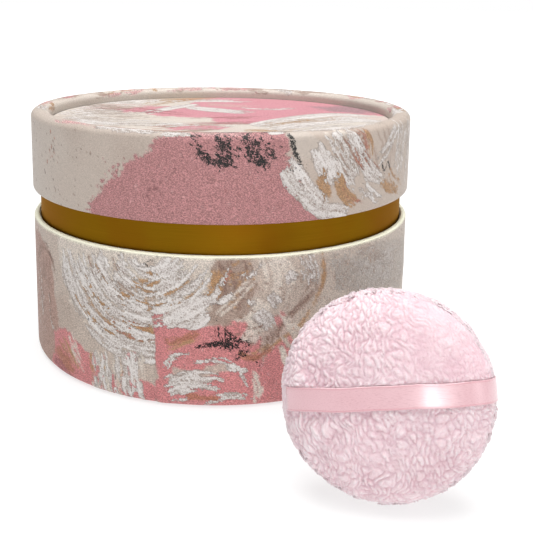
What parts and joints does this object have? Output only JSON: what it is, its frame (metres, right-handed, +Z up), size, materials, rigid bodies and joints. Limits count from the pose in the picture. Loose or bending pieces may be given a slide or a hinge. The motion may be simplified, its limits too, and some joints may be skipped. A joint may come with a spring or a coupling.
{
  "type": "powder jar",
  "caption": "Round paperboard powder box with a floral paper cover, a lift-off lid on a gold neck, an inner sifter tub and a plush puff with a ribbon strap.",
  "frame": {"origin": "centre of the box's flush underside, on the surface it stands on", "axes": "+Z up along the box's axis; -Y towards the front, where the puff stands; +X to the right seen from the front"},
  "size_m": [0.1326, 0.1788, 0.0789],
  "materials": {
    "card": "matt grey-brown paperboard",
    "base_print": "matt embossed paper with a painted floral print",
    "lid_print": "matt embossed paper with a painted floral print",
    "top_print": "matt embossed paper with a painted floral print",
    "plain_paper": "matt cream paper",
    "gold_foil": "satin gold foil paper",
    "tub_plastic": "smooth white plastic",
    "sifter_plastic": "satin white plastic",
    "plush": "pale pink short-pile plush",
    "stuffing": "soft white polyester filling",
    "satin_ribbon": "glossy pink satin",
    "thread": "pink sewing thread"
  },
  "bodies": {
    "base": {"base_tube": "card", "base_wrap": "base_print", "base_floor_board": "card", "base_underside_paper": "plain_paper", "base_floor_lining": "plain_paper", "neck_tube": "card", "neck_foil": "gold_foil", "powder_cup": "tub_plastic", "sifter_plate": "sifter_plastic"},
    "lid_lining": {"lid_lining_ring": "plain_paper", "lid_lining_disc": "plain_paper"},
    "lid_shell": {"lid_tube": "card", "lid_wrap": "lid_print", "lid_top_board": "card", "lid_top_paper": "top_print"},
    "puff": {"puff_front_plush": "plush", "puff_back_plush": "plush", "puff_filling": "stuffing", "puff_ribbon": "satin_ribbon", "puff_seam_thread": "thread"}
  },
  "joints": [
    {"name": "lid_lift", "type": "slide", "parent": "base", "child": "lid_lining", "axis": [0, 0, 1], "range_m": [0, 0.06]},
    {"name": "lid_turn", "type": "hinge", "parent": "lid_lining", "child": "lid_shell", "pos_m": [0, 0, 0], "axis": [0, 0, 1], "continuous": true},
    {"name": "puff_lift", "type": "slide", "parent": "base", "child": "puff", "axis": [0, 0, 1], "range_m": [0, 0.1]}
  ]
}
